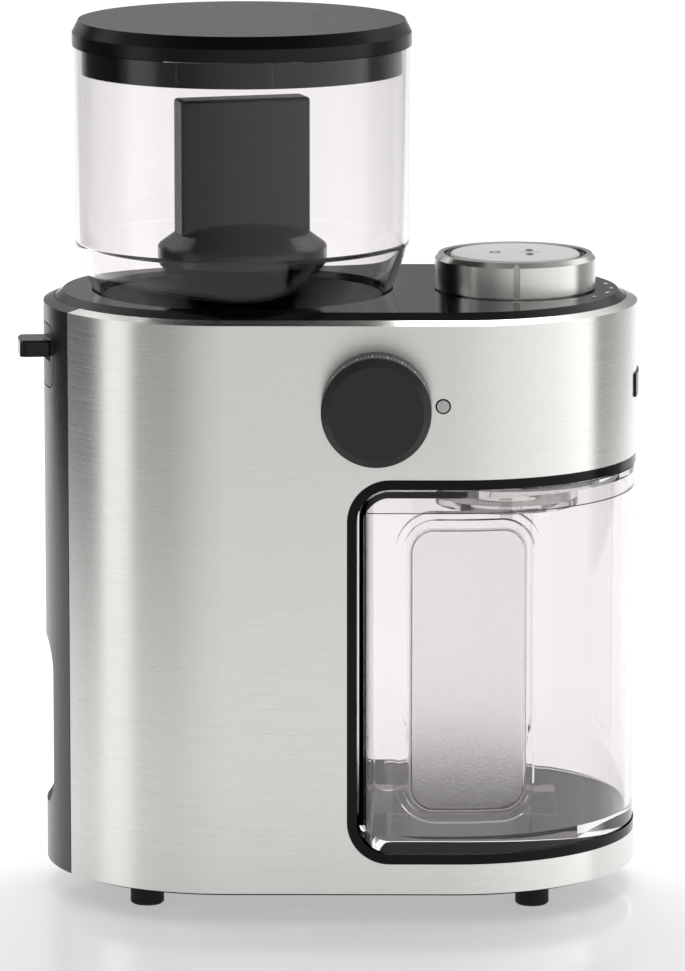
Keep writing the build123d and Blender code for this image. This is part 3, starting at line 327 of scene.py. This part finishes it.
def rounded_corner(before, corner, after, radius, steps=8):
    """Points of an arc that rounds a corner of a profile."""
    start = Vector(before) - Vector(corner)
    end = Vector(after) - Vector(corner)
    half = start.angle(end) / 2
    reach = radius / math.tan(half)
    first = Vector(corner) + start.normalized() * reach
    last = Vector(corner) + end.normalized() * reach
    inward = (start.normalized() + end.normalized()).normalized()
    centre = Vector(corner) + inward * (radius / math.sin(half))
    points = []
    for step in range(steps + 1):
        spoke = (first - centre).lerp(last - centre, step / steps).normalized() * radius
        points.append(tuple(centre + spoke))
    return points


def prism(built, outline, frame_point, low, high):
    """A thin plate: an outline of (u, v) points, placed by a function, between two heights."""
    count = len(outline)
    under = [built.verts.new(frame_point(u, v, low)) for u, v in outline]
    over = [built.verts.new(frame_point(u, v, high)) for u, v in outline]
    built.faces.new(under[::-1])
    built.faces.new(over)
    for index in range(count):
        after = (index + 1) % count
        built.faces.new((under[index], under[after], over[after], over[index]))


def dash(width, length, corner=0.12):
    """The outline of a small printed dash with clipped corners."""
    x, y = width / 2, length / 2
    return [(-x + corner, -y), (x - corner, -y), (x, -y + corner), (x, y - corner),
            (x - corner, y), (-x + corner, y), (-x, y - corner), (-x, -y + corner)]


def clear_hopper():
    """The hopper's wall, with its even bend into the cone."""
    outer = [(51.25, 261.0), (51.25, 201.0), (45.3, 185.0)]
    inner = [(43.3, 185.4), (49.25, 201.5), (49.25, 261.0)]
    profile = [
        (51.25, 261.0), (51.25, 203.0), *rounded_corner(*outer, 4), (45.3, 185.0), (45.3, 183.5),
        (43.3, 183.5), (43.3, 185.4), *rounded_corner(*inner, 2), (49.25, 203.0), (49.25, 261.0),
    ]
    built = bmesh.new()
    lathe(built, BURR_X, profile)
    wall = shown("hopper_wall", built, "hopper", LOOKS["hopper"])
    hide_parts("hopper")


def dial_scale():
    """Printed dashes round the top of the grind dial's rim."""
    built = bmesh.new()
    low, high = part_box("grind_dial")
    centre_x, centre_z = (low[0] + high[0]) / 2, (low[2] + high[2]) / 2
    radius = (high[0] - low[0]) / 2
    for number in range(29):
        turn = math.radians(-52 + 4 * number)
        major = number % 4 == 0
        outline = dash(0.55 if major else 0.32, 2.6 if major else 1.5)

        def place(u, v, height, turn=turn):
            out = radius + height * MM
            angle = turn + u * MM / radius
            return (centre_x + out * math.sin(angle), low[1] + (6.2 + v) * MM,
                    centre_z + out * math.cos(angle))
        prism(built, outline, place, -0.05, 0.02)
    shown("grind_dial_scale", built, "grind_dial", printed_white, smooth=False)


def marker_ring():
    """The dark ring round the dial's index on the steel."""
    built = bmesh.new()
    low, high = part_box("dial_marker")
    centre_x, centre_z = (low[0] + high[0]) / 2, (low[2] + high[2]) / 2
    profile = [(1.87, 0.0), (2.35, 0.0), (2.3, 0.12), (1.95, 0.16)]
    rings = []
    for step in range(64):
        turn = 2 * math.pi * step / 64
        rings.append([
            built.verts.new((centre_x + r * MM * math.cos(turn), high[1] - out * MM,
                             centre_z + r * MM * math.sin(turn)))
            for r, out in profile
        ])
    for ring, following in zip(rings, rings[1:] + rings[:1]):
        for index in range(len(profile)):
            after = (index + 1) % len(profile)
            built.faces.new((ring[index], following[index], following[after], ring[after]))
    shown("dial_marker_ring", built, "root", LOOKS["bay_liner"])


def cups_scale():
    """Printed dashes on the deck round the cups dial."""
    built = bmesh.new()
    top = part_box("top_deck")[1][2]
    for number, length in enumerate((3.0, 1.8, 2.6, 1.8, 2.8, 1.8, 2.6)):
        turn = math.radians(-90 + 18 * number)

        def place(u, v, height, turn=turn):
            radius = (29.5 + v) * MM
            angle = turn + u * MM / radius
            return (CUPS_X + radius * math.cos(angle), radius * math.sin(angle),
                    top + height * MM)
        prism(built, dash(length, 0.9), place, -0.02, 0.03)
    shown("cups_scale", built, "root", printed_white, smooth=False)


def button_signs():
    """A ring and a two-part sign printed on the start button."""
    built = bmesh.new()
    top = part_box("start_button")[1][2]

    def lay(u, v, height):
        return (CUPS_X + u * MM, v * MM, top + height * MM)

    for step in range(24):
        turns = [2 * math.pi * (step + part) / 24 for part in (0, 1)]
        outline = [(-6.2 + r * math.cos(t), r * 1.15 * math.sin(t))
                   for r, t in ((1.05, turns[0]), (1.75, turns[0]), (1.75, turns[1]),
                                (1.05, turns[1]))]
        prism(built, outline, lay, -0.02, 0.03)
    prism(built, [(x + 4.4, y) for x, y in dash(6.4, 0.5)], lay, -0.02, 0.03)
    for middle in (4.3, -4.3):
        for shift, outline in ((0, dash(2.8, 1.6, 0.4)), (-1.7, dash(1.8, 0.9, 0.3)),
                               (1.7, dash(1.8, 0.9, 0.3))):
            prism(built, [(x + 4.4, y + middle + shift) for x, y in outline], lay, -0.02, 0.03)
    shown("button_signs", built, "start_button", LOOKS["bay_liner"], smooth=False)


def turn_handle():
    """The shutter's turning handle and its domed disc, with crisp edges."""
    across, along = math.cos(HANDLE_TURN), math.sin(HANDLE_TURN)

    def place(u, v, height):
        return (BURR_X + (u * across + height * along) * MM,
                (u * along - height * across) * MM, v * MM)
    built = bmesh.new()
    plate = [(-20.3, 192.0), (20.3, 192.0), (20.3, 245.0), (-20.3, 245.0)]
    prism(built, plate, place, -5.25, 5.25)
    bmesh.ops.bevel(built, geom=list(built.edges), offset=1.0 * MM, segments=3, profile=0.5,
                    affect="EDGES")
    lathe(built, BURR_X, [
        (16.0, 170.3), (16.0, 190.0), (23.9, 192.8), (25.4, 194.4), (25.9, 195.2), (25.9, 199.5),
        (25.4, 200.3), (20.8, 203.6), (17.0, 204.9), (13.0, 205.7), (6.5, 206.4), (0.05, 206.6),
        (0.05, 176.0), (4.2, 176.0), (4.2, 170.3),
    ])
    grip = shown("turn_handle", built, "shutter", LOOKS["shutter_knob"],
                 crease=12)
    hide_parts("shutter_knob")


def pocket_bead():
    """The fine raised bead round the grip pocket on the container's front."""
    low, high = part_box("container")
    half_depth = (high[1] - low[1]) / 2 / MM

    def place(u, v, height):
        out = half_depth + height
        if u <= 35.0:
            return (u * MM, -out * MM, v * MM)
        turn = (u - 35.0) / half_depth
        return (END_CENTRE + out * math.sin(turn) * MM, -out * math.cos(turn) * MM, v * MM)

    def ring(built, inset, height):
        left, right, bottom, top = 21.2 + inset, 57.0 - inset, 34.6 + inset, 121.6 - inset
        radius = 7.5 - inset
        corners = [(right, top, 0), (left, top, 90), (left, bottom, 180), (right, bottom, 270)]
        points = []
        for x, z, start in corners:
            cx = x - radius if x == right else x + radius
            cz = z - radius if z == top else z + radius
            for step in range(13):
                turn = math.radians(start + 90 * step / 12)
                points.append((cx + radius * math.cos(turn), cz + radius * math.sin(turn)))
        spaced = []
        for point, following in zip(points, points[1:] + points[:1]):
            pieces = max(1, round(abs(following[0] - point[0]) / 1.5))
            spaced += [(point[0] + (following[0] - point[0]) * k / pieces,
                        point[1] + (following[1] - point[1]) * k / pieces)
                       for k in range(pieces)]
        return [built.verts.new(place(u, v, height)) for u, v in spaced]
    built = bmesh.new()
    rings = [ring(built, inset, height) for inset, height in
             [(0.0, 0.05), (0.2, 0.32), (0.45, 0.42), (0.7, 0.32), (0.9, 0.05)]]
    for first, second in zip(rings, rings[1:] + rings[:1]):
        for index in range(len(first)):
            after = (index + 1) % len(first)
            built.faces.new((first[index], first[after], second[after], second[index]))
    shown("pocket_bead", built, "container", LOOKS["container_lid"])


def lid_seams():
    """Three fine upright ribs on the lid's skirt, seen through the hopper."""
    built = bmesh.new()
    skirt = 48.9
    for bearing in (-112, -78, -40):
        turn = math.radians(bearing)

        def place(u, v, height, turn=turn):
            out = (skirt + height) * MM
            angle = turn + u / skirt
            return (BURR_X + out * math.cos(angle), out * math.sin(angle), (257.2 + v) * MM)
        prism(built, dash(0.35, 7.6, 0.1), place, -0.05, 0.08)
    shown("lid_seams", built, "hopper_lid", seam_grey, smooth=False)


def dish_tab():
    """A clear guide that hangs in front of the filling dish."""
    built = bmesh.new()
    outline = [(-1.9, -2.8), (-1.4, -3.3), (1.4, -3.3), (1.9, -2.8), (1.9, 2.6), (-1.9, 2.6)]

    def place(u, v, height):
        return ((50.4 + u) * MM, (-23.4 - height) * MM, (122.4 + v) * MM)
    prism(built, outline, place, 0.0, 1.2)
    shown("dish_tab", built, "container", LOOKS["container_lid"], smooth=False)


printed_white = moulded("printed_white", (0.80, 0.80, 0.79), 0.5, grain=0.0)
seam_grey = moulded("seam_grey", (0.05, 0.05, 0.05), 0.3, grain=0.0)
clear_hopper()
turn_handle()
pocket_bead()
lid_seams()
dish_tab()
dial_scale()
marker_ring()
cups_scale()
button_signs()


# ---- stage, light and camera --------------------------------------------------------------
def studio_floor():
    """A pale table top that runs back out of sight, with a painted glow: it gives off light all
    over, more towards the back.
    """
    mesh = bpy.data.meshes.new("studio_floor")
    built = bmesh.new()
    outline = [(1.6, 9.0), (-1.6, 9.0), (-0.6, 0.0)]
    for step in range(1, 24):
        turn = math.pi * step / 24
        outline.append((-0.6 * math.cos(turn), -0.5 * math.sin(turn)))
    outline.append((0.6, 0.0))
    built.faces.new([built.verts.new((x, y, 0)) for x, y in outline])
    built.to_mesh(mesh)
    built.free()
    floor = bpy.data.objects.new("studio_floor", mesh)
    bpy.context.scene.collection.objects.link(floor)
    paint = Shader("floor_painted_glow", Roughness=0.14)
    paint.surface.inputs["Specular IOR Level"].default_value = 0.2
    mottle = paint.noise(25, detail=3)
    paint.drive("Roughness", paint.remap(mottle, 0.13, 0.16))
    # painted glow: the floor emits white light of its own, strength 0.38 at the front rising to
    # 0.62 at the back
    paint.surface.inputs["Emission Color"].default_value = (1, 0.995, 1, 1)
    where = paint.node("ShaderNodeTexCoord")
    split = paint.node("ShaderNodeSeparateXYZ", [("Vector", where.outputs["Object"])])
    paint.surface.inputs["Base Color"].default_value = (0.81, 0.80, 0.83, 1)
    paint.drive("Emission Strength", paint.remap(split.outputs["Y"], 0.38, 0.62, -0.12, 0.30))
    mesh.materials.append(paint.material)


def softbox(name, centre, aim, width, height, power):
    """A rectangular studio lamp that faces a point."""
    lamp = bpy.data.lights.new(name, "AREA")
    lamp.shape = "RECTANGLE"
    lamp.size = width
    lamp.size_y = height
    lamp.energy = power
    made = bpy.data.objects.new(name, lamp)
    made.location = centre
    made.rotation_euler = (Vector(aim) - Vector(centre)).to_track_quat("-Z", "Y").to_euler()
    bpy.context.scene.collection.objects.link(made)


# brightness of the surroundings by compass angle, 0 in front and positive to the right:
# below the horizon, and then above it
LOW_BAND = [
    (-180, 1.04), (-172, 1.04), (-165, 0.74), (-148, 0.72),
    (-135, 0.05), (-95, 0.05), (-86, 0.38), (-80, 1.16), (-65, 1.10), (-57, 0.34), (-34, 0.34),
    (-14, 0.62), (0, 0.76), (27, 0.96), (66, 1.18), (94, 1.50), (102, 0.30), (112, 0.30),
    (122, 0.40), (138, 0.60), (165, 0.60), (172, 1.04), (180, 1.04),
]
HIGH_BAND = [
    (-180, 0.42), (-160, 0.42), (-148, 0.72), (-135, 0.05), (-98, 0.06), (-87, 0.40), (-81, 1.12),
    (-65, 1.08), (-57, 0.34), (-34, 0.33), (-14, 0.58), (0, 0.70), (27, 0.90), (66, 1.14),
    (94, 1.40), (101, 0.30), (112, 0.42), (128, 0.50), (145, 0.45), (180, 0.32),
]
# brightness overhead, from the front (-1) to the back (1)
OVERHEAD = [
    (-1.0, 0.30), (-0.9, 0.06), (-0.45, 0.06), (-0.2, 0.38), (0.1, 0.42), (0.35, 1.2),
    (0.65, 1.4), (0.9, 0.55), (1.0, 0.42),
]


def studio_world():
    """Surroundings by direction: white behind, dark panels at the left, softboxes in front."""
    world = bpy.data.worlds.new("studio")
    world.use_nodes = True
    tree = world.node_tree
    nodes, links = tree.nodes, tree.links
    where = nodes.new("ShaderNodeTexCoord")
    split = nodes.new("ShaderNodeSeparateXYZ")
    links.new(where.outputs["Generated"], split.inputs[0])

    def remap(source, start, end, smooth=False):
        made = nodes.new("ShaderNodeMapRange")
        made.interpolation_type = "SMOOTHSTEP" if smooth else "LINEAR"
        made.inputs["From Min"].default_value = start
        made.inputs["From Max"].default_value = end
        links.new(source, made.inputs["Value"])
        return made.outputs["Result"]

    def ramp(source, stops):
        made = nodes.new("ShaderNodeValToRGB")
        links.new(source, made.inputs["Fac"])
        points = made.color_ramp.elements
        while len(points) < len(stops):
            points.new(0.5)
        for point, (place, level) in zip(points, stops):
            point.position = place
            point.color = (level, level, level, 1)
        return made.outputs["Color"]

    def mix(factor, low, high):
        made = nodes.new("ShaderNodeMix")
        made.data_type = "RGBA"
        first, second = [socket for socket in made.inputs if socket.type == "RGBA"]
        links.new(factor, made.inputs["Factor"])
        links.new(low, first)
        links.new(high, second)
        return [socket for socket in made.outputs if socket.type == "RGBA"][0]

    flip = nodes.new("ShaderNodeMath")
    flip.operation = "MULTIPLY"
    flip.inputs[1].default_value = -1.0
    links.new(split.outputs["Y"], flip.inputs[0])
    turn = nodes.new("ShaderNodeMath")
    turn.operation = "ARCTAN2"
    links.new(split.outputs["X"], turn.inputs[0])
    links.new(flip.outputs[0], turn.inputs[1])
    azimuth = remap(turn.outputs[0], -math.pi, math.pi)
    low_band = ramp(azimuth, [((angle + 180) / 360, level) for angle, level in LOW_BAND])
    high_band = ramp(azimuth, [((angle + 180) / 360, level) for angle, level in HIGH_BAND])
    overhead = ramp(remap(split.outputs["Y"], -1, 1),
                    [((y + 1) / 2, level) for y, level in OVERHEAD])
    sides = mix(remap(split.outputs["Z"], -0.05, 0.03, True), low_band, high_band)
    whole = mix(remap(split.outputs["Z"], 0.28, 0.46, True), sides, overhead)
    background = nodes["Background"]
    links.new(whole, background.inputs["Color"])
    background.inputs["Strength"].default_value = 1.0
    bpy.context.scene.world = world


def photo_camera():
    """A long lens in front, slightly above, as the object is usually pictured."""
    lens = bpy.data.cameras.new("camera")
    lens.sensor_fit = "AUTO"
    lens.sensor_width = 36
    lens.lens = 247.25
    lens.shift_x = 0.0022
    lens.clip_end = 50
    camera = bpy.data.objects.new("camera", lens)
    camera.location = (0.01618, -2.0219, 0.4905)
    camera.rotation_euler = (math.pi / 2 - 0.179, 0, 0.008)
    bpy.context.scene.collection.objects.link(camera)
    bpy.context.scene.camera = camera


studio_floor()
studio_world()
softbox("top_softbox", (0.1, 0.7, 1.5), (0, 0, 0.2), 1.0, 0.6, 8)
photo_camera()
bpy.context.scene.view_settings.view_transform = "Standard"
